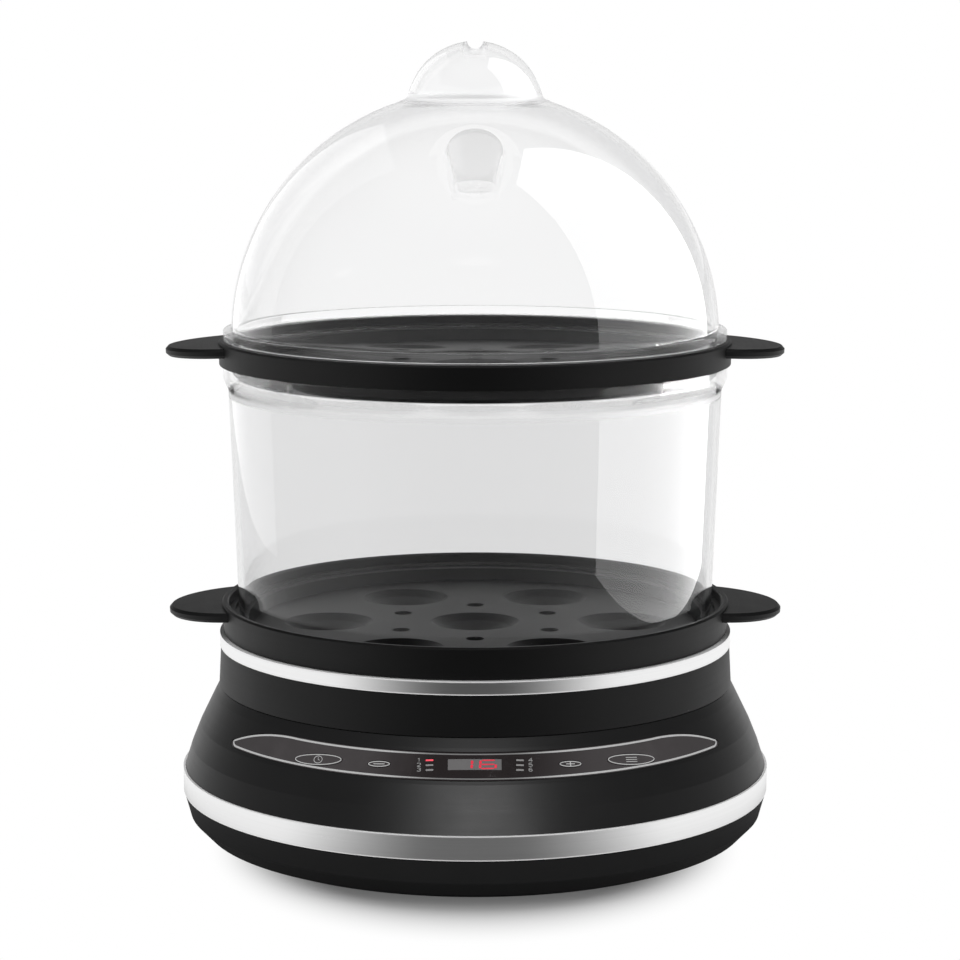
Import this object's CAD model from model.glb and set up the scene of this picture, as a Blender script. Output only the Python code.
"""Looks of the two-tier egg cooker: finishes, the clear pieces, the panel's marks and the studio."""

import math

import bpy
import numpy as np
from bpy.props import FloatProperty, FloatVectorProperty, IntProperty, PointerProperty
from mathutils import Matrix, Vector


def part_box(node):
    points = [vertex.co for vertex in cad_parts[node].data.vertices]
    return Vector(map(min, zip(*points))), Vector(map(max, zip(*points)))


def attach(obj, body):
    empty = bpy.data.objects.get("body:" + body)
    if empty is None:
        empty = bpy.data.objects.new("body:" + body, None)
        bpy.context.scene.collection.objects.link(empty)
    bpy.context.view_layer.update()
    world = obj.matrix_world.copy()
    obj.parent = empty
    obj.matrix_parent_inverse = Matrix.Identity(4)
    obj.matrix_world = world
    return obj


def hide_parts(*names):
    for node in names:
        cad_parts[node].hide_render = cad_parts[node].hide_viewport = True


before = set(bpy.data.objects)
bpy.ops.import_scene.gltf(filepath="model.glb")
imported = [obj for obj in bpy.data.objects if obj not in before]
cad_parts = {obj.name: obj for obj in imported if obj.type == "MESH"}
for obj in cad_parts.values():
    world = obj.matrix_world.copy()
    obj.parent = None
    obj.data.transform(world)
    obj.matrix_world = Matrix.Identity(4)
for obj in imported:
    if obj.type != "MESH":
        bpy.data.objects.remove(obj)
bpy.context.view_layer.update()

bl_info = {
    "name": "Two-tier egg cooker",
    "version": (1, 0, 0),
    "blender": (4, 5, 0),
    "location": "3D View > Sidebar > Cooker",
    "description": "Builds the clear pieces, finishes, panel marks and studio of an egg cooker",
    "category": "Object",
}

MM = 0.001


# Sizes and colours that a user may change


def length(name, text, value):
    """A length in metres, given here in millimetres."""
    return FloatProperty(name=name, description=text, default=value * MM, min=0.0, precision=5,
                         unit="LENGTH", subtype="DISTANCE")


def share(name, text, value):
    """A plain number of zero or more."""
    return FloatProperty(name=name, description=text, default=value, min=0.0, max=40.0)


def rgb(value):
    """Three numbers from a grey or a colour."""
    return tuple(value)[:3] if hasattr(value, "__len__") else (value, value, value)


def colour(name, text, value):
    """A linear colour; one number stands for a grey."""
    return FloatVectorProperty(name=name, description=text, default=rgb(value), min=0.0, max=1.0,
                               size=3, subtype="COLOR")


def properties(kind, table):
    """Properties of that kind, each labelled with its own name in plain words."""
    return {name: kind(name.replace("_", " ").capitalize(), text, value)
            for name, (value, text) in table.items()}


class COOKER_PG_sizes(bpy.types.PropertyGroup):
    """Sizes of the clear pieces and of the marks on the panel."""

    __annotations__ = properties(length, {
        "clear_wall": (1.8, "Wall of the ring and the lid"),
        "lid_foot_radius": (78.5, "Radius of the lip inside the upper tray"),
        "lid_foot": (161.7, "Height of the lid's lower edge"),
        "bead_radius": (82.0, "Radius of the lid's bead on the tray's rim"),
        "bead_low": (166.0, "Height of the bead's underside"),
        "bead_high": (169.0, "Height of the bead's top"),
        "dome_radius": (79.32, "Radius of the dome's sphere"),
        "dome_centre": (166.8, "Height of the dome's centre"),
        "knob_radius": (22.345, "Radius of the knob's sphere"),
        "knob_centre": (239.1, "Height of the knob's centre"),
        "vent_radius": (1.4, "Radius of the hole on the axis"),
        "notch_radius": (2.6, "Radius of the groove across the knob"),
        "funnel_offset": (51.3, "Distance of the funnel from the axis"),
        "funnel_floor": (214.5, "Height of the funnel's floor"),
        "funnel_floor_radius": (5.4, "Radius of the funnel at its floor"),
        "funnel_mouth": (237.0, "Height of the funnel's mouth"),
        "funnel_mouth_radius": (10.3, "Radius of the funnel at its mouth"),
        "funnel_wall": (1.6, "Wall of the funnel"),
        "funnel_hole": (2.2, "Radius of the steam hole in the funnel's floor"),
        "ring_foot_radius": (77.75, "Outer radius at the ring's lower edge"),
        "ring_foot": (76.0, "Height of the ring's lower edge"),
        "ring_shoulder_radius": (80.4, "Outer radius under the lip"),
        "ring_shoulder": (149.8, "Height where the lip begins"),
        "ring_lip_radius": (82.2, "Outer radius of the lip"),
        "ring_lip": (153.6, "Height where the lip is upright"),
        "ring_top": (157.75, "Height of the ring's upper edge"),
        "edge_softness": (0.7, "How far the edges of the clear pieces are rounded"),
        "root_softness": (1.7, "How far the corner at the knob's root is rounded"),
        "outline_width": (0.58, "Width of the light line round the panel"),
        "key_line_width": (0.26, "Width of the light ovals on the keys"),
        "sign_width": (0.24, "Width of the strokes of signs and numerals"),
        "numeral_height": (1.05, "Height of the numerals beside the lamps"),
        "digit_height": (2.5, "Height of the display's digits"),
        "digit_width": (4.7, "Distance between the middles of a digit's upright bars"),
        "print_rise": (0.03, "How far the printed lines stand out"),
    }) | {"rounds": IntProperty(name="Rounds", description="Faces round each turned piece", default=240,
                               min=24, max=720)}


class COOKER_PG_colours(bpy.types.PropertyGroup):
    """Colours of the finishes."""

    __annotations__ = properties(colour, {
        "black": ((0.0036, 0.0036, 0.0038), "Black plastic of the trays"),
        "housing": ((0.0062, 0.0062, 0.0064), "Black plastic of skirt and collar"),
        "pan": ((0.016, 0.016, 0.0163), "Black plastic of the bottom cover"),
        "silver": (0.93, "Trim bands"),
        "panel": ((0.015, 0.0122, 0.0125), "Middle of the glossy control panel"),
        "panel_side": ((0.043, 0.039, 0.04), "Panel and keys toward the panel's sides"),
        "print": (0.56, "Lines and signs on the panel"),
        "window": ((0.086, 0.083, 0.084), "Grey display window"),
        "lit": ((0.66, 0.022, 0.05), "Digits and the lit lamp"),
        "clear": ((0.855, 0.855, 0.857), "Tint of the clear ring"),
        "dome": ((0.975, 0.975, 0.976), "Tint of the clear lid"),
        "edge": ((0.8, 0.8, 0.805), "Tint of clear pieces seen along their walls"),
        "steel": ((0.56, 0.56, 0.57), "Bare steel of the heating dish"),
        "floor": (0.86, "Studio floor"),
    })


class COOKER_PG_stage(bpy.types.PropertyGroup):
    """Studio light and camera."""

    __annotations__ = properties(share, {
        "surround": (0.92, "Light from all round"),
        "front": (0.05, "How bright the camera's side looks in reflections"),
        "side_box": (5.0, "Radiance of the lamp that the clear pieces mirror at the right"),
        "fill_box": (0.9, "Radiance of the lamp that the clear pieces mirror at the left"),
        "back_box": (0.4, "Radiance of the lamp that the clear pieces mirror at their tops"),
        "front_box": (16.0, "Radiance of the lamp that lights the base's face from above the camera"),
    }) | {
        "lens": FloatProperty(name="Lens", description="Focal length in millimetres", default=107.66,
                              min=10.0),
        "pitch": FloatProperty(name="Pitch", description="How far the camera looks down",
                               default=math.radians(8.64), subtype="ANGLE"),
        "camera_place": FloatVectorProperty(name="Camera", description="Place of the camera",
                                            default=(0.0016, -0.9332, 0.2605), subtype="TRANSLATION"),
    }


# The panel's face, a cone about the axis: heights, radii and the fall of its radius with height; then
# the middle of the row of lamps and the distance from one lamp to the next


PANEL_LOW, PANEL_LOW_RADIUS = 39.3 * MM, 90.9 * MM
PANEL_HIGH, PANEL_HIGH_RADIUS = 49.5 * MM, 85.9 * MM
FALL = (PANEL_LOW_RADIUS - PANEL_HIGH_RADIUS) / (PANEL_HIGH - PANEL_LOW)
PANEL_MIDDLE = 45.1 * MM
LAMP_PITCH = 1.5 * MM


# Shader maths


def by_math(operation):
    """An operator between signals that adds a Math node."""
    return lambda signal, other: signal.math(operation, other)


class Signal:
    """An output socket; sums, products and the like on it add Math nodes."""

    __add__ = __radd__ = by_math("ADD")
    __mul__ = __rmul__ = by_math("MULTIPLY")
    __sub__ = by_math("SUBTRACT")
    __truediv__ = by_math("DIVIDE")
    __pow__ = by_math("POWER")
    __gt__ = by_math("GREATER_THAN")
    __lt__ = by_math("LESS_THAN")

    def __init__(self, finish, socket):
        self.finish = finish
        self.socket = socket

    def math(self, operation, *others, clamp=False):
        settings = {"operation": operation, "use_clamp": clamp}
        return self.finish.node("Math", settings, dict(enumerate((self, *others))))

    def __rsub__(self, other):
        return self.finish.node("Math", {"operation": "SUBTRACT"}, {0: other, 1: self})

    def __abs__(self):
        return self.math("ABSOLUTE")

    def clamped(self):
        return self.math("ADD", 0.0, clamp=True)

    def ramp(self, low, high, a=0.0, b=1.0):
        """Goes smoothly from a where the signal is low to b where it is high."""
        return self.finish.node("MapRange", {"interpolation_type": "SMOOTHSTEP"},
                                {"Value": self, "From Min": low, "From Max": high,
                                 "To Min": a, "To Max": b})


def length_of(*parts):
    """The root of the sum of squares."""
    return sum(part * part for part in parts) ** 0.5


# Outputs of the Texture Coordinate node; in the surround the first gives a ray's direction
GENERATED, OBJECT = 0, 3


class Finish:
    """A node tree that is filled through one method."""

    def __init__(self, tree):
        self.tree = tree
        tree.nodes.clear()

    def node(self, kind, settings=None, sockets=None, output=0):
        """A shader node of that kind: its settings first, then the values or links of its sockets."""
        node = self.tree.nodes.new(f"ShaderNode{kind}")
        for name, value in (settings or {}).items():
            if name == "stops":
                elements = node.color_ramp.elements
                while len(elements) < len(value):
                    elements.new(0.5)
                for element, (place, shade) in zip(elements, value):
                    element.position = place
                    element.color = (*shade, 1.0)
            else:
                setattr(node, name, value)
        for key, value in (sockets or {}).items():
            socket = node.inputs[key]
            if isinstance(value, Signal):
                self.tree.links.new(value.socket, socket)
            elif socket.type == "RGBA":
                socket.default_value = (*rgb(value), 1.0)
            else:
                socket.default_value = value
        return None if output is None else Signal(self, node.outputs[output])

    def place(self, kind=OBJECT):
        """The piece's own coordinates in metres, as one vector and as three numbers."""
        point = self.node("TexCoord", output=kind)
        split = self.node("SeparateXYZ", sockets={0: point}).socket.node
        return point, *(Signal(self, split.outputs[k]) for k in range(3))

    def polar(self):
        """The coordinates as one vector, the distance from the cooker's axis, the turn about it as a share
        of a circle, and the height."""
        point, x, y, z = self.place()
        return point, length_of(x, y), y.math("ARCTAN2", x) / (2 * math.pi), z

    def vector(self, x, y, z):
        return self.node("CombineXYZ", sockets={0: x, 1: y, 2: z})

    def noise(self, vector, scale, detail=2.0, rough=0.5, warp=0.0):
        return self.node("TexNoise", {}, {"Vector": vector, "Scale": scale, "Detail": detail,
                                                    "Roughness": rough, "Distortion": warp})

    def streaks(self, x, y, z, detail=2.0, rough=0.5, warp=0.0):
        """Noise that is drawn out by a scale of its own along each of three directions."""
        return self.noise(self.vector(x, y, z), 1.0, detail, rough, warp)

    def cells(self, vector, scale, feature="F1", distance="EUCLIDEAN"):
        return self.node("TexVoronoi", {"feature": feature, "distance": distance},
                         {"Vector": vector, "Scale": scale})

    def blend(self, factor, a, b, how="MIX"):
        """Mixes two colours."""
        return self.node("Mix", {"data_type": "RGBA", "blend_type": how},
                         {0: factor, 6: a, 7: b}, output=2)

    def shade(self, base, amount):
        """A colour made darker or lighter by a number round one."""
        grey = self.node("CombineColor", sockets={0: amount, 1: amount, 2: amount})
        return self.blend(1.0, base, grey, "MULTIPLY")

    def bump(self, height, depth, strength=1.0):
        return self.node("Bump", {}, {"Height": height, "Distance": depth, "Strength": strength})

    def surface(self, **sockets):
        """The Principled shader, with its sockets named in snake case."""
        named = {key.replace("_", " ").title().replace("Ior", "IOR"): value
                 for key, value in sockets.items()}
        return self.node("BsdfPrincipled", {}, named)

    def out(self, shader, kind="OutputMaterial"):
        self.node(kind, {}, {"Surface": shader}, output=None)

    def coat(self, **sockets):
        """Ends the tree with the Principled shader alone."""
        self.out(self.surface(**sockets))


def finish(build):
    """Turns a function that fills a node tree into one that returns a new material of a given name."""

    def made(name, *values):
        material = bpy.data.materials.new(name)
        material.use_nodes = True
        build(Finish(material.node_tree), *values)
        return material

    made.__doc__ = build.__doc__
    return made


# Finishes of the outside


@finish
def moulded_plastic(f, base, gloss=0.36, grain=1.0, level=0.3):
    """Satin moulded plastic: fine spark-eroded grain, slow gloss changes, faint flow marks and dust."""
    point, radius, turn, z = f.polar()
    fine = f.noise(point, 2600.0, 3.0, 0.6)
    broad = f.noise(point, 46.0, 3.0, 0.55)
    flow = f.streaks(radius * 900.0, turn * 9.0, z * 900.0)
    specks = f.cells(point, 700.0).ramp(0.06, 0.02)
    dust = specks * f.noise(point, 90.0).ramp(0.58, 0.72)
    tone = f.shade(base, 0.86 + broad * 0.2 + fine * 0.08)
    coloured = f.blend(dust * 0.16, tone, (0.06, 0.06, 0.06))
    rough = gloss + (broad - 0.5) * 0.1 + (fine - 0.5) * 0.08 + (flow - 0.5) * 0.04 + dust * 0.15
    relief = fine * 0.7 + flow * 0.2 + dust * 0.6
    f.coat(base_color=coloured, roughness=rough.clamped(), ior=1.5, specular_ior_level=level,
           normal=f.bump(relief, 0.000012 * grain))


@finish
def brushed_band(f, base, node):
    """Bright trim: long fine brush lines round the hoop under a thin lacquer, and rounded light edges."""
    point, radius, turn, z = f.polar()
    low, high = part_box(node)
    lines = f.streaks(turn * 16.0, radius * 200.0, z * 5200.0, 3.0, 0.6)
    long_lines = f.streaks(turn * 3.0, 0.0, z * 1700.0)
    haze = f.noise(point, 34.0, 2.0)
    half = (high.z - low.z) / 2
    edge = abs(z - (low.z + high.z) / 2).ramp(half - 0.5 * MM, half - 0.05 * MM)
    shade = 0.9 + lines * 0.08 + long_lines * 0.06 + (haze - 0.5) * 0.05 + edge * 0.1
    rough = 0.24 + lines * 0.06 + haze * 0.05 + edge * 0.2
    relief = f.bump(lines + long_lines * 0.5, 0.000004)
    f.coat(base_color=f.shade(base, shade), metallic=1.0 - edge * 0.8, roughness=rough, coat_weight=0.12,
           coat_roughness=0.12, normal=relief)


@finish
def gloss_panel(f, base, side, gloss=0.1):
    """Brown-black gloss plastic, greyer toward the panel's sides: faint orange peel, a few hair scratches
    and finger haze."""
    point, radius, turn, z = f.polar()
    aside = abs(f.place()[1]).ramp(0.01, 0.042)
    peel = f.noise(point, 420.0, 2.0)
    haze = f.noise(point, 60.0, 3.0, 0.6).ramp(0.45, 0.75)
    scratch = f.streaks(turn * 60.0, radius * 900.0, z * 4200.0, 1.0, warp=0.4)
    hair = abs(scratch - 0.5).ramp(0.012, 0.0) * f.noise(point, 150.0).ramp(0.6, 0.7)
    tone = f.shade(f.blend(aside, base, side), 0.92 + haze * 0.22 + hair * 0.7)
    rough = gloss + haze * 0.05 + hair * 0.12
    f.coat(base_color=tone, roughness=rough, ior=1.49, coat_weight=0.35, coat_roughness=0.05,
           normal=f.bump(peel - hair * 0.4, 0.000008))


# How far parts of the clear pieces fade, and the roughness of their hazy places
LIP_FADE, FOOT_FADE, FUNNEL_FADE, HOLLOW_FADE = 0.72, 0.65, 0.92, 0.65
HAZE = 0.3
# Depth of the bore's own surface; how far the faint part stays inside the funnel's outer edge, and how far
# it goes on behind the mouth, where a cut edge would look dark
BORE_SKIN, MOUTH_TRIM, MOUTH_BEHIND = 0.4 * MM, 0.3 * MM, 2.8 * MM
# Radius and height of the corner between dome and knob, which looks dark unless it is hazy
ROOT = (21.3 * MM, 242.4 * MM)


@finish
def clear_plastic(f, tint, edge, thin=None):
    """Clear moulded plastic: light grey tint, greyer where the wall is seen along its length, soft flow
    ripples and faint water marks. thin gives three numbers: how far the body fades, where it is the inside
    of the funnel, and where it is hazy."""
    point, radius, turn, z = f.polar()
    ripple = f.streaks(turn * 24.0, radius * 30.0, z * 30.0)
    marks = f.noise(point, 55.0, 4.0, 0.62).ramp(0.6, 0.78)
    along = f.node("LayerWeight", {}, {"Blend": 0.5}, output=1).ramp(0.55, 0.75)
    tone = f.blend(along, tint, edge)
    rough = 0.012 + marks * 0.04
    solid = 1.0
    if thin:
        faint, hollow, hazy = thin(f)
        tone = f.blend(hollow, tone, (0.3, 0.3, 0.305))
        rough = rough + (hollow + hazy) * HAZE
        solid = 1.0 - faint - hollow * HOLLOW_FADE
    plastic = f.surface(base_color=tone, roughness=rough, ior=1.3, alpha=solid,
                        transmission_weight=1.0, normal=f.bump(ripple, 0.00006, 0.3))
    passing = f.node("BsdfTransparent", {}, {"Color": tint})
    shadow = f.node("LightPath", output=1)
    f.out(f.node("MixShader", {}, {0: shadow, 1: plastic, 2: passing}))


def ring_thin(s):
    """The ring's lip is faint, and hazy where it begins."""

    def places(f):
        above = f.place()[3] - s.ring_shoulder
        return above.ramp(-1.2 * MM, 0.8 * MM) * LIP_FADE, 0.0, abs(above).ramp(3.0 * MM, 1.5 * MM)

    return places


def funnel_spread(s):
    """How much the funnel's radius grows with height."""
    return (s.funnel_mouth_radius - s.funnel_floor_radius) / (s.funnel_mouth - s.funnel_floor)


def lid_thin(s):
    """Where the lid's body is faint: foot, bead, and the funnel's outside, floor and front; where it is the
    back half of the funnel's bore; and where it is hazy: round the notch and at the knob's root."""

    def places(f):
        _, x, y, z = f.place()
        ahead = y + s.funnel_offset
        near = length_of(x, ahead)
        bore = (z - s.funnel_floor) * funnel_spread(s) + s.funnel_floor_radius
        reach = s.funnel_mouth_radius + s.funnel_wall - MOUTH_TRIM + (ahead > 3.0 * MM) * MOUTH_BEHIND
        funnel = (near < reach) * (length_of(x, y, z - s.dome_centre) < s.dome_radius - 0.25 * MM)
        side = abs(near - bore) < BORE_SKIN
        hollow = side * (z > s.funnel_floor + 2.0 * MM) * (ahead > 0.0)
        foot = z.ramp(s.bead_high + 0.6 * MM, s.bead_high - 0.4 * MM) * FOOT_FADE
        notch = (z > s.knob_centre + s.knob_radius - 4.5 * MM) * (abs(x) < s.notch_radius + 1.2 * MM)
        root = length_of(length_of(x, y) - ROOT[0], z - ROOT[1]).ramp(4.0 * MM, 2.0 * MM)
        faint = funnel.math("MAXIMUM", side * (z > s.funnel_floor)) * (1.0 - hollow)
        return faint * FUNNEL_FADE + foot, hollow, notch + root

    return places


@finish
def print_ink(f, base):
    """Matt light ink with small variations in cover, thinner in the panel's middle."""
    point, x, _, _ = f.place()
    cover = f.noise(point, 1500.0, 2.0)
    aside = abs(x).ramp(0.01, 0.028, 0.42, 1.0)
    f.coat(base_color=f.shade(base, (0.88 + cover * 0.22) * aside), roughness=0.42 + cover * 0.12,
           normal=f.bump(cover, 0.000006))


@finish
def lit_red(f, base, glow):
    """Red light segments, a little brighter in their middles."""
    point = f.place()[0]
    spread = f.noise(point, 900.0, 1.0)
    tone = f.shade(base, 0.85 + spread * 0.25)
    f.coat(base_color=tone, roughness=0.3, emission_color=tone, emission_strength=glow)


@finish
def lamp_bars(f, lit):
    """Six small bars with a narrow light slot along each: grey unlit ones, and the upper left one red."""
    point, x, y, z = f.place()
    slope = math.atan(FALL)
    row = y * math.sin(slope) + z * math.cos(slope)
    low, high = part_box("indicator_lights")
    lowest = math.sin(slope) * (low.y + high.y) / 2 + math.cos(slope) * (low.z + high.z) / 2 - LAMP_PITCH
    aside = ((row - lowest) / LAMP_PITCH + 0.5).math("FRACT") - 0.5
    slot = abs(aside).ramp(0.17, 0.13)
    on = (x < 0.0) * (row > lowest + 1.5 * LAMP_PITCH) * slot
    frost = f.noise(point, 1400.0, 2.0)
    unlit = f.blend(slot, (0.014, 0.012, 0.012), f.shade((0.15, 0.145, 0.145), 0.9 + frost * 0.2))
    f.coat(base_color=f.blend(on, unlit, lit), roughness=0.3 + frost * 0.15,
           emission_color=f.blend(on, (0.0, 0.0, 0.0), lit), emission_strength=0.4,
           normal=f.bump(frost, 0.000008))


@finish
def window_pane(f, base):
    """Grey display window: satin face with a fine diagonal weave of the filter behind it."""
    point, x, _, z = f.place()
    weave = f.streaks((x + z) * 3000.0, (x - z) * 3000.0, 0.0, 1.0)
    sheen = f.noise(point, 240.0, 2.0)
    f.coat(base_color=f.shade(base, 0.85 + sheen * 0.2 + weave * 0.1), roughness=0.16 + weave * 0.06,
           coat_weight=0.3, coat_roughness=0.05, normal=f.bump(weave, 0.000003))


# Finishes of the inside


@finish
def spun_steel(f, base, rough=0.24, lines=2400.0):
    """Pressed steel: turned lines about the axis, faint lime rings and stains where water dries."""
    point, radius, turn, _ = f.polar()
    turned = f.streaks(radius * lines, turn * 4.0, 0.0, 3.0, 0.65)
    stain = f.noise(point, 70.0, 4.0, 0.6, 0.6)
    rings = (f.noise(point, 38.0) * 9.0).math("FRACT").ramp(0.9, 0.97) * stain.ramp(0.5, 0.7)
    shade = f.shade(base, 0.8 + turned * 0.22 + (stain - 0.5) * 0.1)
    tone = f.blend(rings * 0.25, shade, (0.72, 0.7, 0.66))
    f.coat(base_color=tone, metallic=1.0 - rings * 0.4, roughness=rough + turned * 0.12 + rings * 0.2,
           normal=f.bump(turned, 0.000012))


@finish
def dull_metal(f, base, rough=0.4, heat=0.0):
    """Rolled or cast metal: fine pits, draw marks and, where it gets hot, straw to blue tints."""
    point, x, y, z = f.place()
    pits = f.cells(point, 1600.0).ramp(0.18, 0.05)
    drawn = f.streaks(x * 600.0, y * 600.0, z * 90.0, 3.0)
    patch = f.noise(point, 85.0, 3.0)
    tone = f.shade(base, 0.82 + drawn * 0.2 + patch * 0.14 - pits * 0.2)
    if heat:
        tint = f.node("ValToRGB",
                      {"stops": [(0.3, (1.0, 1.0, 1.0)), (0.5, (0.95, 0.78, 0.5)),
                                 (0.62, (0.7, 0.5, 0.55)), (0.75, (0.5, 0.58, 0.8))]}, {0: patch})
        tone = f.blend(heat, tone, f.blend(1.0, tone, tint, "MULTIPLY"))
    f.coat(base_color=tone, metallic=1.0, roughness=rough + drawn * 0.14 + pits * 0.1,
           normal=f.bump(drawn - pits * 0.5, 0.00001))


@finish
def rubber(f, base, ribs=0.0):
    """Matt rubber: powdery bloom, fine pores and, on the leads, faint rib marks."""
    point, x, y, z = f.place()
    pores = f.cells(point, 1900.0).ramp(0.2, 0.05)
    bloom = f.noise(point, 110.0, 4.0, 0.6).ramp(0.45, 0.8)
    rib = ((x + y + z) * ribs).math("SINE") * 0.5 + 0.5
    lighter = tuple(min(1.0, part * 1.7 + 0.01) for part in rgb(base))
    tone = f.blend(bloom * 0.4, f.shade(base, 0.9 + rib * 0.12 - pores * 0.15), lighter)
    f.coat(base_color=tone, roughness=0.62 + bloom * 0.16, specular_ior_level=0.35,
           normal=f.bump(rib * 0.4 - pores, 0.00002))


@finish
def circuit_board(f):
    """Green circuit board: copper tracks under the lacquer, tinned pads and small white marks."""
    point, x, y, z = f.place()
    flat = f.vector(x, y, z * 1.3)
    tracks = f.cells(flat, 210.0, "DISTANCE_TO_EDGE", "EUCLIDEAN").ramp(0.1, 0.04)
    drill = f.cells(flat, 330.0, "F1", "CHEBYCHEV")
    pads = drill.ramp(0.2, 0.14)
    bare = f.noise(point, 160.0).ramp(0.52, 0.56)
    glass = f.streaks((x + y) * 2200.0, (x - y) * 2200.0, z * 2200.0, 2.0)
    lacquer = f.blend(tracks, f.shade((0.012, 0.1, 0.035), 0.85 + glass * 0.3), (0.03, 0.2, 0.075))
    tinned = pads * bare
    tone = f.blend(tinned, lacquer, (0.62, 0.6, 0.55))
    f.coat(base_color=tone, metallic=tinned * 0.9, roughness=0.32 + glass * 0.1 - tinned * 0.06,
           normal=f.bump(tracks * 0.8 + tinned + glass * 0.08, 0.00003))


@finish
def laminated_core(f):
    """Transformer: stacked iron sheets outside, lacquered copper turns between them."""
    point, x, _, z = f.place()
    low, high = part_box("transformer")
    middle = (low.z + high.z) / 2
    across = abs(z - middle) / ((high.z - low.z) / 2)
    coil = across.ramp(0.52, 0.46)
    sheets = (x * 12000.0).math("SINE") * 0.5 + 0.5
    turns = (z * 16000.0).math("SINE") * 0.5 + 0.5
    rust = f.noise(point, 300.0, 3.0).ramp(0.55, 0.75)
    iron = f.blend(rust * 0.3, f.shade((0.1, 0.1, 0.11), 0.7 + sheets * 0.5), (0.16, 0.07, 0.03))
    copper = f.shade((0.52, 0.18, 0.06), 0.6 + turns * 0.55)
    f.coat(base_color=f.blend(coil, iron, copper), metallic=0.55 + coil * 0.3,
           roughness=0.42 - coil * 0.12 + rust * 0.15,
           normal=f.bump(sheets * (1.0 - coil) + turns * coil, 0.00006))


@finish
def component_case(f, base, rough=0.35):
    """Small moulded case of an electric component: flow lines, ejector rings and scuffs."""
    point, x, y, z = f.place()
    flow = f.streaks(x * 90.0, y * 400.0, z * 400.0, 3.0)
    scuff = f.noise(point, 260.0, 5.0, 0.7).ramp(0.6, 0.72)
    grain = f.noise(point, 2400.0, 2.0)
    lighter = tuple(min(1.0, part * 1.5 + 0.02) for part in rgb(base))
    tone = f.blend(scuff * 0.3, f.shade(base, 0.88 + flow * 0.16 + grain * 0.06), lighter)
    f.coat(base_color=tone, roughness=rough + scuff * 0.16 + grain * 0.06,
           normal=f.bump(grain + flow * 0.5 - scuff * 0.3, 0.000015))


@finish
def flat_cable(f, base):
    """Flat cable: many parallel cores with grooves between them and one marked core."""
    point, x, _, _ = f.place()
    low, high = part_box("ribbon_cable")
    across = (x - low.x) / (high.x - low.x)
    cores = (across * (2 * math.pi * 10)).math("COSINE") * 0.5 + 0.5
    marked = across.ramp(0.1, 0.09)
    dirt = f.noise(point, 200.0, 3.0)
    tone = f.blend(marked, f.shade(base, 0.7 + (1.0 - cores) * 0.35 + dirt * 0.08), (0.35, 0.03, 0.03))
    f.coat(base_color=tone, roughness=0.45 + dirt * 0.1, normal=f.bump(1.0 - cores, 0.00015))


# Surfaces worked out as arrays


def circle(steps):
    """Angles at even steps once round."""
    return np.linspace(0.0, 2 * math.pi, steps, endpoint=False)


def round_rows(radius, height, steps, centre=(0.0, 0.0)):
    """Points x = r cos t, y = r sin t about an upright line, at that height; one row for each radius."""
    t = circle(steps)
    x, y = centre[0] + radius * np.cos(t), centre[1] + radius * np.sin(t)
    if callable(height):
        height = height(x, y)
    return np.stack(np.broadcast_arrays(x, y, height), axis=-1).reshape(-1, 3)


def grid_faces(rows, columns, close_rows, close_columns):
    """Quads between neighbours of a grid, wrapping round where a direction is closed."""
    i, j = np.meshgrid(np.arange(rows if close_rows else rows - 1),
                       np.arange(columns if close_columns else columns - 1), indexing="ij")
    i, j = i.ravel(), j.ravel()
    below, beside = (i + 1) % rows, (j + 1) % columns
    return np.stack([i * columns + j, i * columns + beside, below * columns + beside,
                     below * columns + j], axis=1)


def outward(points, quads, caps=()):
    """Turns the quads and caps of a closed surface so that the volume they enclose is positive.

    The volume is a sixth of the sum over all triangles of a . (b x c), taken from the mean point."""
    fans = [np.stack([np.full(len(cap) - 2, cap[0]), cap[1:-1], cap[2:]], axis=1) for cap in caps]
    triangles = np.vstack([quads[:, [0, 1, 2]], quads[:, [0, 2, 3]], *fans])
    a, b, c = (points[triangles[:, k]] - points.mean(axis=0) for k in range(3))
    if np.einsum("ij,ij->i", a, np.cross(b, c)).sum() < 0:
        return quads[:, ::-1], [cap[::-1] for cap in caps]
    return quads, list(caps)


def placed(name, data):
    """A new object in the scene."""
    made = bpy.data.objects.new(name, data)
    bpy.context.scene.collection.objects.link(made)
    return made


def piece(name, points, quads, caps=(), smooth=True):
    """A mesh object at the origin from arrays of points in metres, of quads and of many-sided caps."""
    mesh = bpy.data.meshes.new(name)
    mesh.vertices.add(len(points))
    mesh.vertices.foreach_set("co", np.asarray(points, np.float32).ravel())
    corners = np.concatenate([quads.ravel(), *caps]).astype(np.int32)
    sizes = np.array([4] * len(quads) + [len(cap) for cap in caps])
    mesh.loops.add(len(corners))
    mesh.loops.foreach_set("vertex_index", corners)
    mesh.polygons.add(len(sizes))
    mesh.polygons.foreach_set("loop_start", (np.cumsum(sizes) - sizes).astype(np.int32))
    mesh.polygons.foreach_set("use_smooth", np.full(len(sizes), smooth))
    mesh.update(calc_edges=True)
    if mesh.validate():
        raise RuntimeError(f"{name} has broken faces")
    return placed(name, mesh)


def finish_edges(made, degrees=32.0):
    """Edges that bend by more than that stay crisp."""
    made.data.set_sharp_from_angle(angle=math.radians(degrees))
    return made


PROFILE_STEP = 0.22 * MM


def walked(line, way, places):
    """The line's points at those places, where way gives the place of each of its own points."""
    return np.stack([np.interp(places, way, line[:, k]) for k in range(2)], axis=1)


def distances(line):
    """How far along the line each of its points is."""
    return np.concatenate([[0.0], np.cumsum(np.linalg.norm(np.diff(line, axis=0), axis=1))])


def even_walk(line, closed):
    """Points at even steps along a line, or along the closed line through its points."""
    if closed:
        line = np.vstack([line, line[:1]])
    way = distances(line)
    places = np.linspace(0.0, way[-1], int(way[-1] / PROFILE_STEP), endpoint=not closed)
    return walked(line, way, places), places


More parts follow.
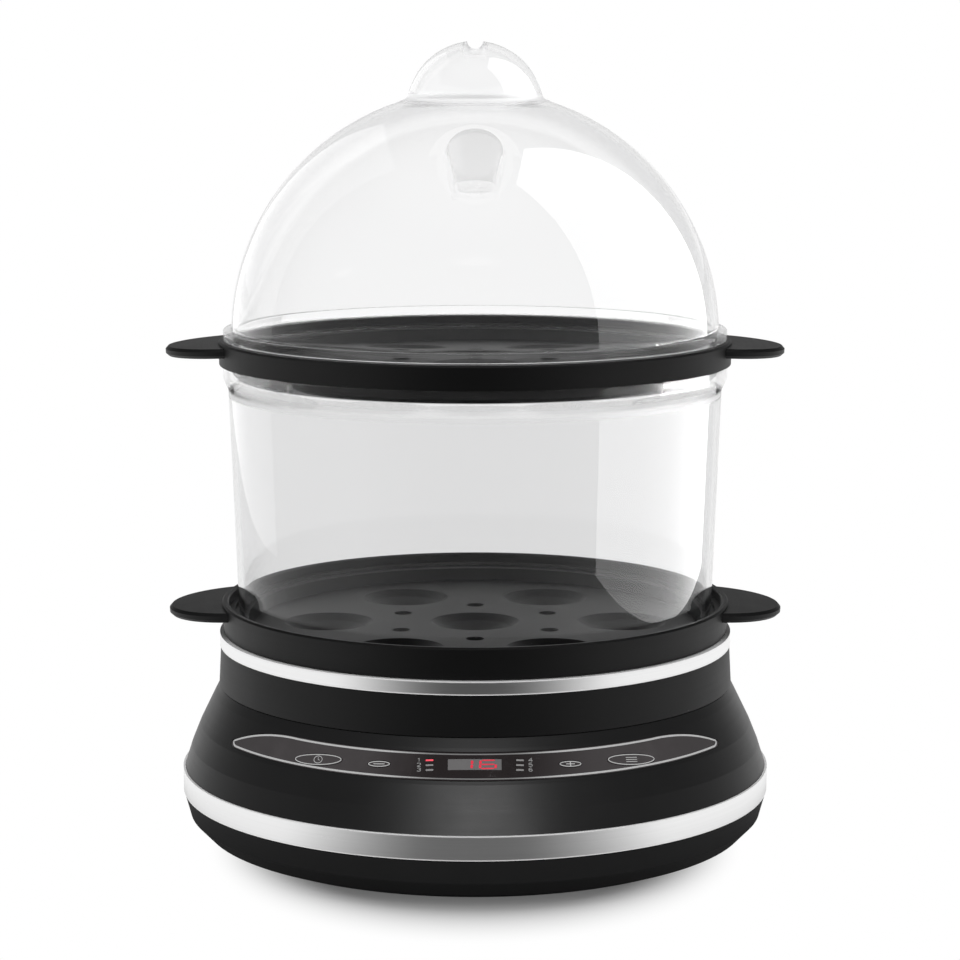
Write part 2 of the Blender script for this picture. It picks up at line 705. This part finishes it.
def softened(points, half):
    """Each point becomes a weighted mean of its neighbours, half steps to each side, which rounds corners."""
    kernel = np.hanning(2 * half + 3)[1:-1]
    kernel /= kernel.sum()
    padded = np.concatenate([points[-half:], points, points[:half]])
    return np.stack([np.convolve(padded[:, k], kernel, "valid") for k in range(2)], axis=1)


def thinned(points, longest, bend_degrees):
    """Keeps points evenly in the sum of length over longest and of bend over bend_degrees."""
    step = np.roll(points, -1, axis=0) - points
    heading = np.arctan2(step[:, 1], step[:, 0])
    bend = np.abs((np.diff(np.append(heading, heading[:1])) + math.pi) % (2 * math.pi) - math.pi)
    weight = np.linalg.norm(step, axis=1) / longest + bend / math.radians(bend_degrees)
    total = np.concatenate([[0.0], np.cumsum(weight)])
    places = np.linspace(0.0, total[-1], int(math.ceil(total[-1])), endpoint=False)
    ring = np.vstack([points, points[:1]])
    return walked(ring, total, places)


def turned(name, profile, rounds):
    """The closed profile of (radius, height) carried round the axis: x = r cos t, y = r sin t, z = height."""
    points = round_rows(profile[:, :1], profile[:, 1:], rounds)
    return piece(name, points, *outward(points, grid_faces(len(profile), rounds, True, True)))


def arc(centre, radius, first, last, steps=90):
    """Points (radius from the axis, height) of an arc about (0, centre), by its angles above level."""
    turn = np.linspace(first, last, steps)
    return np.stack([radius * np.cos(turn), centre + radius * np.sin(turn)], axis=1)


def rounded_profile(corners, softness):
    """The closed line through the corners with its corners rounded, denser where it bends."""
    line, _ = even_walk(np.asarray(corners), True)
    return thinned(softened(line, max(2, int(softness / PROFILE_STEP))), 0.0034, 7.0)


def filleted(line, corner, reach):
    """An open line with the corner nearest to that height rounded; farther than four reaches it stays.

    The rounding is a weighted mean over reach to each side, blended in by the distance along the line."""
    even, places = even_walk(line, False)
    middle = places[np.argmin(np.linalg.norm(even - corner, axis=1))]
    near = np.clip(4.0 - np.abs(places - middle)[:, None] / reach, 0.0, 1.0)
    return even + (softened(even, int(reach / PROFILE_STEP)) - even) * near


def set_in(line, wall):
    """The line moved by the wall to its right-hand side: each point goes square to the direction there."""
    ahead = np.gradient(line, axis=0)
    ahead /= np.linalg.norm(ahead, axis=1, keepdims=True)
    return line + wall * np.stack([-ahead[:, 1], ahead[:, 0]], axis=1)


def plug(name, centre, rows, rounds=72):
    """A closed body about an upright line: rows of (radius, height), from a pole to a pole.

    Each row is a circle of that radius about the line, at that height or, where the height is itself
    worked out for each point of the circle, on that surface."""
    grid = [round_rows(radius, height, rounds, centre) for radius, height in rows]
    return capped(name, np.concatenate(grid), len(rows), rounds)


def capped(name, points, rows, rounds):
    """A closed body from rows of points, each row a closed ring; one flat face closes each end row."""
    first = np.arange(rounds)[::-1]
    last = (rows - 1) * rounds + np.arange(rounds)
    return piece(name, points, *outward(points, grid_faces(rows, rounds, False, True), [first, last]))


def combined(target, tool, how):
    """The union or difference of two closed pieces; the tool is removed."""
    modifier = target.modifiers.new("join", "BOOLEAN")
    modifier.operation = how
    modifier.solver = "EXACT"
    modifier.object = tool
    bpy.context.view_layer.update()
    graph = bpy.context.evaluated_depsgraph_get()
    mesh = bpy.data.meshes.new_from_object(target.evaluated_get(graph), depsgraph=graph)
    if len(mesh.polygons) < 100:
        raise RuntimeError(f"{target.name}: {how.lower()} with {tool.name} failed")
    target.modifiers.clear()
    old, target.data = target.data, mesh
    bpy.data.meshes.remove(old)
    bpy.data.objects.remove(tool)
    return target


# Printed lines on the panel


def on_face(x, z):
    """The point of the panel's cone at that x and height, and the cone's normal there.

    The radius falls evenly with height, y is minus the root of radius squared less x squared, and the
    normal points away from the axis and up by the cone's slope."""
    radius = PANEL_LOW_RADIUS - (z - PANEL_LOW) * FALL
    y = -np.sqrt(radius ** 2 - x ** 2)
    normal = np.stack([x / radius, y / radius, np.full_like(x, FALL)], axis=-1)
    return np.stack([x, y, z], axis=-1), normal / np.linalg.norm(normal, axis=-1, keepdims=True)


def ribbon(x, z, width, sizes, closed):
    """A thin printed line on the cone through the places (x, z).

    At each place the line's cross-section is a low rectangle: the width is laid off across the line,
    square to its direction and to the cone's normal, and the thickness along the normal. Returns the
    points and quads of the closed band that these rectangles sweep."""
    points, normal = on_face(np.asarray(x, float), np.asarray(z, float))
    if closed:
        ahead = np.roll(points, -1, axis=0) - np.roll(points, 1, axis=0)
    else:
        ahead = np.gradient(points, axis=0)
    ahead /= np.linalg.norm(ahead, axis=1, keepdims=True)
    side = np.cross(normal, ahead)
    half = np.broadcast_to(np.asarray(width, float) / 2, len(points))[:, None]
    rise = sizes.print_rise
    rows = np.stack([points - side * half - normal * rise, points - side * half + normal * rise,
                     points + side * half + normal * rise, points + side * half - normal * rise], axis=1)
    faces = grid_faces(len(points), 4, closed, True)
    if not closed:
        last = 4 * (len(points) - 1)
        faces = np.vstack([faces, [[3, 2, 1, 0]], [[last, last + 1, last + 2, last + 3]]])
    points = rows.reshape(-1, 3)
    return points, outward(points, faces)[0]


def joined(parts):
    """Several (points, quads) as one."""
    shift = np.cumsum([0] + [len(points) for points, _ in parts])
    return (np.vstack([points for points, _ in parts]),
            np.vstack([faces + start for (_, faces), start in zip(parts, shift)]))


def key_place(x, z, tilt=0.0):
    """Middle of a key or of another place on the panel, and its two directions: level, or turned by tilt,
    and up the slope."""
    radius = PANEL_LOW_RADIUS - (z - PANEL_LOW) * FALL
    turn = math.asin(x / radius)
    slope = math.atan(FALL)
    frame_turn = (Matrix.Rotation(turn, 3, "Z") @ Matrix.Rotation(math.pi / 2 - slope, 3, "X")
                  @ Matrix.Rotation(tilt, 3, "Z"))
    return x, z, frame_turn @ Vector((1, 0, 0)), frame_turn @ Vector((0, 1, 0))


def on_key(place, u, v):
    """(x, height) of points that lie u along and v up a key's face."""
    x, z, along, up = place
    u, v = np.asarray(u), np.asarray(v)
    return x + u * along.x + v * up.x, z + u * along.z + v * up.z


def oval(place, half_width, half_height, width, sizes, steps=96):
    """An elliptic line on a key: u = a cos t, v = b sin t."""
    t = circle(steps)
    x, z = on_key(place, half_width * np.cos(t), half_height * np.sin(t))
    return ribbon(x, z, width, sizes, True)


def stroke(place, line, width, sizes):
    """An open line on a key or on the panel through points (u, v) in metres."""
    return ribbon(*on_key(place, *np.asarray(line, float).T), width, sizes, False)


NUMERALS = {
    "1": [(0.25, 0.76), (0.55, 1.0), (0.55, 0.0)],
    "2": [(0.02, 0.78), (0.2, 0.96), (0.5, 1.0), (0.82, 0.92), (0.94, 0.72), (0.8, 0.48), (0.02, 0.0),
          (0.96, 0.0)],
    "3": [(0.05, 0.86), (0.45, 1.0), (0.88, 0.86), (0.86, 0.62), (0.45, 0.52), (0.9, 0.42), (0.94, 0.16),
          (0.5, 0.0), (0.04, 0.12)],
    "4": [(0.74, 0.0), (0.74, 1.0), (0.0, 0.28), (1.0, 0.28)],
    "5": [(0.9, 1.0), (0.16, 1.0), (0.1, 0.56), (0.5, 0.64), (0.9, 0.48), (0.92, 0.18), (0.5, 0.0),
          (0.04, 0.12)],
    "6": [(0.86, 0.92), (0.5, 1.0), (0.14, 0.78), (0.06, 0.3), (0.3, 0.02), (0.72, 0.02), (0.94, 0.26),
          (0.74, 0.52), (0.34, 0.54), (0.1, 0.34)],
}
SEGMENTS = {
    "a": ((0, 2), (1, 2)), "b": ((1, 2), (1, 1)), "c": ((1, 1), (1, 0)), "d": ((0, 0), (1, 0)),
    "e": ((0, 1), (0, 0)), "f": ((0, 2), (0, 1)), "g": ((0, 1), (1, 1)),
}
DIGITS = {"1": "bc", "6": "acdefg"}
# The numerals' distance from the panel's middle, and how far below PANEL_MIDDLE their middle row is
NUMERAL_ASIDE, NUMERAL_DROP = 16.9 * MM, 0.45 * MM

# Each key: place of its middle (x, height), tilt in degrees, half width and half height in metres; then its
# sign as lines in millimetres, each with its width as a share of the sign width
WIDE_KEY, SMALL_KEY = (0.0086, 0.0018), (0.0036, 0.00098)
KEYS = {
    "timer_key": (-0.0481, 0.0433, 6.9, WIDE_KEY, [([(0.0, 0.7), (0.0, 0.0), (0.55, -0.2)], 0.7)]),
    "minus_key": (-0.0291, 0.04415, 4.3, SMALL_KEY, [([(-1.8, 0.0), (1.8, 0.0)], 1.0)]),
    "plus_key": (0.0291, 0.04415, -4.3, SMALL_KEY, [([(-1.4, 0.0), (1.4, 0.0)], 1.0),
                                                    ([(0.0, -0.6), (0.0, 0.6)], 1.6)]),
    "menu_key": (0.0481, 0.0433, -6.9, WIDE_KEY, [([(-2.0, up), (2.0, up)], 0.8)
                                                  for up in (-0.65, 0.0, 0.65)]),
}
CLOCK_FACE = (0.0015, 0.0011)


def numeral(figure, place, height, sizes):
    """A figure drawn with one stroke, a little wider than high."""
    line = np.asarray(NUMERALS[figure]) - (0.5, 0.5)
    fine = np.linspace(0, len(line) - 1, 4 * len(line))
    even = walked(line, np.arange(len(line)), fine)
    return stroke(place, even * (1.2 * height, height), sizes.sign_width * 0.8, sizes)


def display_digit(figure, place, left, sizes):
    """Seven-segment figure: each bar runs between two corners, narrower at its ends, leaning a little."""
    parts = []
    wide, height, lean = sizes.digit_width, sizes.digit_height, 0.08
    # Level bars are thinner than upright ones and end a little farther from the corners
    for name in DIGITS[figure]:
        (x0, y0), (x1, y1) = SEGMENTS[name]
        ends = np.array([(x0 * wide, (y0 / 2 - 0.5) * height), (x1 * wide, (y1 / 2 - 0.5) * height)])
        run = ends[1] - ends[0]
        bar, gap = (0.16 * height, 0.07) if y0 == y1 else (0.3 * height, 0.05)
        shares = np.array([gap, gap + 0.12, 0.88 - gap, 1 - gap])
        line = ends[0] + shares[:, None] * run
        line[:, 0] += left + line[:, 1] * lean
        parts.append(stroke(place, line, bar * np.array([0.45, 1.0, 1.0, 0.45]), sizes))
    return parts


def panel_edge(inset):
    """Outline of the panel seen from the front, inset from its edge.

    A level bottom line ends in small round tips; from each tip a shallow arc rises to a shoulder, and a
    level top line joins the shoulders."""
    bottom, tip = 40.5 * MM + inset, 76.35 * MM - inset * 1.2
    small = 0.95 * MM - inset * 0.25
    top_x, top = 55.0 * MM - inset * 0.4, 48.35 * MM - inset * 0.9
    turn = np.linspace(-math.pi / 2, math.radians(38), 14)
    tip_x = tip - small * 0.2 + small * np.cos(turn)
    tip_z = bottom + small + small * np.sin(turn)
    start = np.array([tip_x[-1], tip_z[-1]])
    end = np.array([top_x, top])
    middle, run = (start + end) / 2, end - start
    radius = 39.0 * MM
    back = math.sqrt(max(radius ** 2 - (run @ run) / 4, 0.0))
    aside = np.array([run[1], -run[0]]) / np.linalg.norm(run)
    centre = middle - aside * back
    if centre[1] > middle[1]:
        centre = middle + aside * back
    first = math.atan2(*(start - centre)[::-1])
    last = math.atan2(*(end - centre)[::-1])
    sweep = np.linspace(first, last, 40)[1:]
    side_x = centre[0] + radius * np.cos(sweep)
    side_z = centre[1] + radius * np.sin(sweep)
    flat_top = np.linspace(top_x, -top_x, 60)[1:-1]
    flat_low = np.linspace(-(tip - small * 0.2), tip - small * 0.2, 90)[1:-1]
    x = np.concatenate([tip_x, side_x, flat_top, -side_x[::-1], -tip_x[::-1], flat_low])
    z = np.concatenate([tip_z, side_z, np.full(58, top), side_z[::-1], tip_z[::-1], np.full(88, bottom)])
    return x, z


# Operators


def paint(material, *nodes):
    """Gives CAD nodes a material."""
    for name in nodes:
        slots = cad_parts[name].data.materials
        slots.clear()
        slots.append(material)


def settle(made, body, slot, material, *nodes):
    """Gives a new piece its material, body and slot, and hides the nodes that it stands for."""
    made.data.materials.clear()
    made.data.materials.append(material)
    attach(made, body)
    if nodes:
        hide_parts(*nodes)
    return made


class Step:
    """Runs make with the scene's sizes, colours and stage settings."""

    def execute(self, context):
        scene = context.scene
        self.make(scene.cooker_sizes, scene.cooker_colours, scene.cooker_stage)
        return {"FINISHED"}


class COOKER_OT_ring(Step, bpy.types.Operator):
    """Makes the clear tapered ring between the trays"""

    bl_idname = "cooker.ring"
    bl_label = "Clear ring"

    def make(self, s, colours, stage):
        wall = s.clear_wall
        outside = [(s.ring_foot_radius, s.ring_foot), (s.ring_shoulder_radius, s.ring_shoulder),
                   (s.ring_lip_radius, s.ring_lip), (s.ring_lip_radius, s.ring_top)]
        inside = [(radius - wall, height) for radius, height in reversed(outside)]
        profile = rounded_profile(outside + inside, s.edge_softness)
        ring = turned("ring_clear", profile, s.rounds)
        settle(finish_edges(ring), "middle_ring", "clear_plastic",
               clear_plastic("clear_ring", colours.clear, colours.edge, ring_thin(s)), "middle_ring")


class COOKER_OT_lid(Step, bpy.types.Operator):
    """Makes the clear lid: foot, bead, dome, ball knob with its notch and vent, and the steam funnel"""

    bl_idname = "cooker.lid"
    bl_label = "Clear lid"

    def make(self, s, colours, stage):
        wall = s.clear_wall
        section = self.profile(s, wall)
        lid = turned("lid_clear", rounded_profile(section, s.edge_softness), s.rounds)
        centre = (0.0, -s.funnel_offset)
        spread = funnel_spread(s)
        shell = s.dome_radius - wall / 2

        def in_wall(x, y):
            return s.dome_centre + np.sqrt(shell ** 2 - x ** 2 - y ** 2)

        low, start = s.funnel_floor - s.funnel_wall, s.funnel_floor_radius + s.funnel_wall
        t = circle(72)
        reach = np.full(72, start + spread * 0.02)
        # Where the cone meets the dome's wall: each round takes the radius at the height found before
        for _ in range(40):
            z = in_wall(centre[0] + reach * np.cos(t), centre[1] + reach * np.sin(t))
            reach = start + spread * (z - low)
        # From the floor's middle over its edge, which is rounded by 0.6 mm, up the cone and in along the wall
        rows = [(0.0006, low), (start - 0.0006, low), (start - 0.0002, low + 0.0001), (start, low + 0.0006)]
        rows += [(start + (reach - start) * part, self.straight(spread, low, reach - start, part))
                 for part in np.linspace(0.06, 0.96, 12)]
        rows += [(reach * part, in_wall) for part in (1.0, 0.8, 0.55, 0.3, 0.05)]
        combined(lid, plug("funnel_mantle", centre, rows), "UNION")
        hollow = [(0.0004, s.funnel_floor), (s.funnel_floor_radius - 0.0005, s.funnel_floor),
                  (s.funnel_floor_radius - 0.0001, s.funnel_floor + 0.0001),
                  (s.funnel_floor_radius + spread * 0.0006, s.funnel_floor + 0.0006)]
        top = s.funnel_mouth + 0.004
        for height in np.linspace(s.funnel_floor + 0.002, top, 12):
            hollow.append((s.funnel_floor_radius + spread * (height - s.funnel_floor), height))
        hollow.append((0.0004, top))
        combined(lid, plug("funnel_hollow", centre, hollow), "DIFFERENCE")
        hole = [(s.funnel_hole, low - 0.003), (s.funnel_hole, s.funnel_floor + 0.003)]
        combined(lid, plug("funnel_drain", centre, hole, 48), "DIFFERENCE")
        combined(lid, self.groove(s), "DIFFERENCE")
        settle(finish_edges(lid), "lid", "clear_plastic",
               clear_plastic("clear_lid", colours.dome, colours.edge, lid_thin(s)), "lid")

    @staticmethod
    def straight(spread, low, growth, part):
        """Height on the funnel's cone for the share part of the radius's growth up to its upper edge."""
        heights = low + growth * part / spread
        return lambda x, y: heights

    @staticmethod
    def profile(s, wall):
        """Closed section of the lid: outside from the foot to the vent, then inside back down.

        Dome and knob are arcs about their centres, which meet where both have the same radius at the same
        height, as the difference of their circles gives. The inside of both lies one wall within them."""
        outer, knob = s.dome_radius, s.knob_radius
        gap = s.knob_centre - s.dome_centre
        rise = (outer ** 2 - knob ** 2 + gap ** 2) / (2 * gap)
        root = (math.sqrt(outer ** 2 - rise ** 2), s.dome_centre + rise)
        vent = s.vent_radius
        low = math.asin((s.bead_high - s.dome_centre) / outer)
        dome = arc(s.dome_centre, outer, low, math.asin(rise / outer))
        ball = arc(s.knob_centre, knob, math.asin((rise - gap) / knob), math.acos(vent / knob), 60)
        crown = filleted(np.vstack([dome, ball[1:]]), root, s.root_softness)
        within = set_in(crown, wall)[::-1]
        within = within[within[:, 0] > vent]
        outside = [(s.lid_foot_radius, s.lid_foot), (s.lid_foot_radius, s.bead_low),
                   (s.bead_radius, s.bead_low), (s.bead_radius, s.bead_high)]
        foot = [(s.lid_foot_radius - wall, s.dome_centre - 0.0012), (s.lid_foot_radius - wall, s.lid_foot)]
        return np.vstack([outside, crown, [(vent, within[0, 1])], within, foot])

    @staticmethod
    def groove(s):
        """Round bar along Y through the top of the knob: x = r cos t, z = top + r sin t."""
        t = circle(64)
        y = np.linspace(-0.03, 0.03, 3)[:, None]
        top = s.knob_centre + s.knob_radius
        shape = (3, 64)
        points = np.stack([np.broadcast_to(s.notch_radius * np.cos(t), shape), np.broadcast_to(y, shape),
                           np.broadcast_to(top + s.notch_radius * np.sin(t), shape)], axis=-1).reshape(-1, 3)
        return capped("knob_groove", points, 3, 64)


class COOKER_OT_marks(Step, bpy.types.Operator):
    """Prints the panel's light outline, the numerals beside the lamps and the display's digits"""

    bl_idname = "cooker.marks"
    bl_label = "Panel marks"

    def make(self, s, colours, stage):
        ink = print_ink("panel_print", colours.print)
        x, z = panel_edge(0.55 * MM)
        # About a third thinner within 12 mm of the middle, and full again from 32 mm on
        width = s.outline_width * (1.0 - 0.36 * np.clip(1.6 - np.abs(x) / 0.02, 0.0, 1.0))
        outline = piece("panel_line", *ribbon(x, z, width, s, True), smooth=False)
        settle(outline, "base", "lamp_white", ink)
        rows = PANEL_MIDDLE - NUMERAL_DROP + LAMP_PITCH * math.cos(math.atan(FALL)) * np.array([1, 0, -1])
        numbers = []
        for side, figures in ((-1, "123"), (1, "456")):
            for figure, height in zip(figures, rows):
                place = key_place(side * NUMERAL_ASIDE, float(height))
                numbers.append(numeral(figure, place, s.numeral_height, s))
        settle(piece("lamp_numbers", *joined(numbers), smooth=False), "base", "lamp_white", ink)
        middle = key_place(0.0, PANEL_MIDDLE)
        bars = display_digit("1", middle, -0.85 * MM - s.digit_width, s)
        bars += display_digit("6", middle, 1.7 * MM, s)
        settle(piece("display_digits", *joined(bars), smooth=False), "base", "display_red",
               lit_red("display_light", colours.lit, 0.42))


class COOKER_OT_key_marks(Step, bpy.types.Operator):
    """Prints an oval line and a plain sign on each key"""

    bl_idname = "cooker.key_marks"
    bl_label = "Key marks"

    def make(self, s, colours, stage):
        ink = print_ink("key_print", colours.print)
        for name, (x, z, tilt, half, lines) in KEYS.items():
            place = key_place(x, z, math.radians(tilt))
            inset = s.key_line_width * 0.9
            parts = [oval(place, half[0] - inset, half[1] - inset, s.key_line_width, s)]
            if name == "timer_key":
                parts.append(oval(place, *CLOCK_FACE, s.sign_width * 0.8, s, 40))
            for line, part in lines:
                parts.append(stroke(place, np.multiply(line, MM), s.sign_width * part, s))
            settle(piece(f"{name}_print", *joined(parts), smooth=False), name, "lamp_white", ink)


class COOKER_OT_outside(Step, bpy.types.Operator):
    """Finishes the outer pieces of the base and the two trays"""

    bl_idname = "cooker.outside"
    bl_label = "Outer finishes"

    def make(self, s, c, stage):
        paint(moulded_plastic("skirt_black", c.housing, 0.4, 1.0, 0.27), "skirt_housing")
        paint(moulded_plastic("collar_black", c.housing, 0.5, 1.0, 0.25), "neck_collar")
        paint(moulded_plastic("pan_black", c.pan, 0.56, 1.4, 0.12), "bottom_cover")
        paint(moulded_plastic("tray_black", c.black, 0.5, 1.0, 0.25), "lower_tray", "upper_tray")
        for node in ("base_band", "collar_band"):
            paint(brushed_band(f"silver_{node}", c.silver, node), node)
        paint(gloss_panel("panel_gloss", c.panel, c.panel_side), "panel_lens")
        paint(gloss_panel("key_gloss", c.panel, c.panel_side, 0.14), *KEYS)
        paint(window_pane("window_grey", c.window), "display_window")
        paint(lamp_bars("lamp_bars", c.lit), "indicator_lights")
        paint(rubber("foot_rubber", (0.022, 0.022, 0.023)), "rubber_feet", "cord_gland")
        paint(dull_metal("screw_steel", (0.55, 0.55, 0.56), 0.28), "cover_screws")


class COOKER_OT_inside(Step, bpy.types.Operator):
    """Finishes the heating dish and the pieces that the closed base hides"""

    bl_idname = "cooker.inside"
    bl_label = "Inner finishes"

    def make(self, s, c, stage):
        paint(spun_steel("dish_steel", c.steel), "heating_plate")
        paint(dull_metal("element_steel", (0.36, 0.35, 0.34), 0.42, 0.6), "heating_element")
        paint(dull_metal("bridge_steel", (0.52, 0.52, 0.53), 0.34), "thermostat_bridge")
        paint(dull_metal("sensor_metal", (0.68, 0.68, 0.69), 0.36), "thermostat")
        paint(dull_metal("nut_steel", (0.58, 0.58, 0.6), 0.26), "plate_nuts", "board_screws", "panel_screws")
        paint(dull_metal("can_metal", (0.5, 0.5, 0.53), 0.3), "capacitor")
        paint(rubber("seal_grey", (0.42, 0.43, 0.44)), "plate_seal")
        paint(rubber("lead_grey", (0.5, 0.5, 0.5), 2600.0), "element_leads")
        paint(circuit_board("board_green"), "power_board", "display_board", "key_board_left",
              "key_board_right")
        paint(laminated_core("core_iron"), "transformer")
        paint(component_case("relay_blue", (0.03, 0.09, 0.32)), "relay")
        paint(component_case("fuse_white", (0.7, 0.69, 0.66), 0.42), "thermal_fuse", "terminal_block")
        paint(component_case("part_black", (0.025, 0.025, 0.026), 0.3), "tact_switches", "buzzer")
        paint(component_case("module_red", (0.1, 0.012, 0.012), 0.28), "display_module")
        paint(flat_cable("cable_grey", (0.36, 0.36, 0.37)), "ribbon_cable")


def rays(f):
    """Two numbers: 1 for rays from the camera or through clear pieces, and 1 for plain reflections."""
    path = f.node("LightPath").socket.node
    camera, glossy, passed, depth = (Signal(f, path.outputs[name]) for name in (
        "Is Camera Ray", "Is Glossy Ray", "Is Transmission Ray", "Transmission Depth"))
    inside = (depth > 0.5) * glossy
    seen = camera.math("MAXIMUM", passed.math("MAXIMUM", inside))
    return seen, glossy * (1.0 - seen)


def sides(across, front):
    """Brightness in reflections: dark toward the camera, where across is -1, and white from the sides on."""
    return across.finish.node("MapRange", {}, {"Value": 0.0 - across, "From Min": 0.97,
                                                         "From Max": 0.6, "To Min": front, "To Max": 1.0})


@finish
def pale_floor(f, base, front):
    """Plain white to the camera but for the shadow near the cooker, which is a little wider than deep; in
    reflections it is darker toward the camera and close to the base."""
    _, x, y, _ = f.place()
    radius = length_of(x, y)
    shadow = length_of(x * 1.3, y + 0.01)
    plain = f.node("BsdfDiffuse", {}, {"Color": base})
    seen, mirrored = rays(f)
    ahead = sides(y / radius, front + radius.ramp(0.18, 0.35, 0.1, 0.0))
    strength = seen + mirrored * ahead * radius.ramp(0.1, 0.15, 0.15, 1.0)
    glow = f.node("Emission", {}, {"Color": (1.0, 1.0, 1.0), "Strength": strength})
    white = shadow.ramp(0.078, 0.115, 0.1, 1.0) * seen + mirrored
    f.out(f.node("MixShader", {}, {0: white, 1: plain, 2: glow}))


class COOKER_OT_stage(Step, bpy.types.Operator):
    """Sets the pale floor, the white surround, four soft lamps and the camera"""

    bl_idname = "cooker.stage"
    bl_label = "Studio"

    def make(self, s, colours, stage):
        scene = bpy.context.scene
        scene.view_settings.view_transform = "Standard"
        self.floor(colours, stage)
        self.surround(scene, stage)
        clear = [bpy.data.objects[name] for name in ("ring_clear", "lid_clear")]
        face = [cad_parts[name] for name in ("skirt_housing", "panel_lens", "display_window", *KEYS,
                                                  "indicator_lights")]
        for name, place, aim, size, lit in (
                ("side", (0.36, 0.02, 0.755), (0.0, 0.02, 0.755), (0.57, 1.5), clear),
                ("fill", (-0.5, 0.65, 0.6), (0.0, 0.65, 0.6), (1.1, 1.2), clear),
                ("back", (0.0, 1.0, 0.95), (0.0, 0.0, 0.95), (2.2, 1.4), clear),
                ("front", (0.0, -1.3, 0.585), (0.0, -0.09, 0.03), (0.9, 0.26), face)):
            self.lamp(f"{name}_lamp", place, aim, size, getattr(stage, f"{name}_box"), lit)
        camera = placed("camera", bpy.data.cameras.new("camera"))
        camera.data.lens = stage.lens
        camera.data.sensor_width = 36.0
        camera.location = stage.camera_place
        camera.rotation_euler = (math.pi / 2 - stage.pitch, 0.0, 0.0)
        scene.camera = camera

    @staticmethod
    def floor(colours, stage):
        """A round floor: radius and turn on a grid, level at height zero."""
        rings = np.concatenate([[0.0005], np.geomspace(0.03, 30.0, 40)])[:, None]
        made = piece("floor", round_rows(rings, 0.0, 96), grid_faces(len(rings), 96, False, True)[:, ::-1])
        if made.data.polygons[200].normal.z < 0:
            made.data.flip_normals()
        made.data.materials.append(pale_floor("floor_pale", colours.floor, stage.front))

    @staticmethod
    def surround(scene, stage):
        """Even light from all round; white to the camera and through clear pieces, and darker toward the
        camera's side in plain reflections, as a dark studio is."""
        world = bpy.data.worlds.new("surround")
        world.use_nodes = True
        scene.world = world
        f = Finish(world.node_tree)
        _, x, y, z = f.place(GENERATED)
        flat = (x * x + y * y + 0.000001) ** 0.5
        seen, mirrored = rays(f)
        height = z.ramp(-0.05, 0.2, 0.7, 0.12) + y.ramp(0.7, 0.97) * 0.3
        around = (sides(y / flat, stage.front) * height).math("MAXIMUM", z.ramp(0.7, 0.98) * 0.75)
        strength = (1.0 - seen - mirrored) * stage.surround + seen + mirrored * around
        f.out(f.node("Background", {}, {"Color": (1.0, 1.0, 1.0), "Strength": strength}),
              "OutputWorld")

    @staticmethod
    def lamp(name, place, aim, size, radiance, lit):
        """A rectangular lamp of that radiance, hidden from the camera, that lights some objects only."""
        light = bpy.data.lights.new(name, "AREA")
        light.shape = "RECTANGLE"
        light.size, light.size_y = size
        light.energy = radiance * math.pi * size[0] * size[1]
        made = placed(name, light)
        made.location = place
        made.rotation_euler = (Vector(place) - Vector(aim)).to_track_quat("Z", "Y").to_euler()
        made.visible_camera = False
        made.visible_transmission = False
        made.light_linking.receiver_collection = bpy.data.collections.new(f"{name}_lit")
        for target in lit:
            made.light_linking.receiver_collection.objects.link(target)


class COOKER_PT_panel(bpy.types.Panel):
    """Lists the steps that build the cooker's looks"""

    bl_idname = "COOKER_PT_panel"
    bl_label = "Egg cooker"
    bl_space_type = "VIEW_3D"
    bl_region_type = "UI"
    bl_category = "Cooker"

    def draw(self, context):
        for operator in OPERATORS:
            self.layout.operator(operator.bl_idname)


GROUPS = {"cooker_sizes": COOKER_PG_sizes, "cooker_colours": COOKER_PG_colours,
          "cooker_stage": COOKER_PG_stage}
OPERATORS = (COOKER_OT_ring, COOKER_OT_lid, COOKER_OT_marks, COOKER_OT_key_marks, COOKER_OT_outside,
             COOKER_OT_inside, COOKER_OT_stage)


CLASSES = (*GROUPS.values(), *OPERATORS, COOKER_PT_panel)


def register():
    for each in CLASSES:
        bpy.utils.register_class(each)
    for name, group in GROUPS.items():
        setattr(bpy.types.Scene, name, PointerProperty(type=group))


def unregister():
    for name in GROUPS:
        delattr(bpy.types.Scene, name)
    for each in reversed(CLASSES):
        bpy.utils.unregister_class(each)


def main():
    register()
    for operator in OPERATORS:
        group, name = operator.bl_idname.split(".")
        if getattr(getattr(bpy.ops, group), name)() != {"FINISHED"}:
            raise RuntimeError(f"{operator.bl_label} did not finish")


if __name__ == "__main__":
    main()
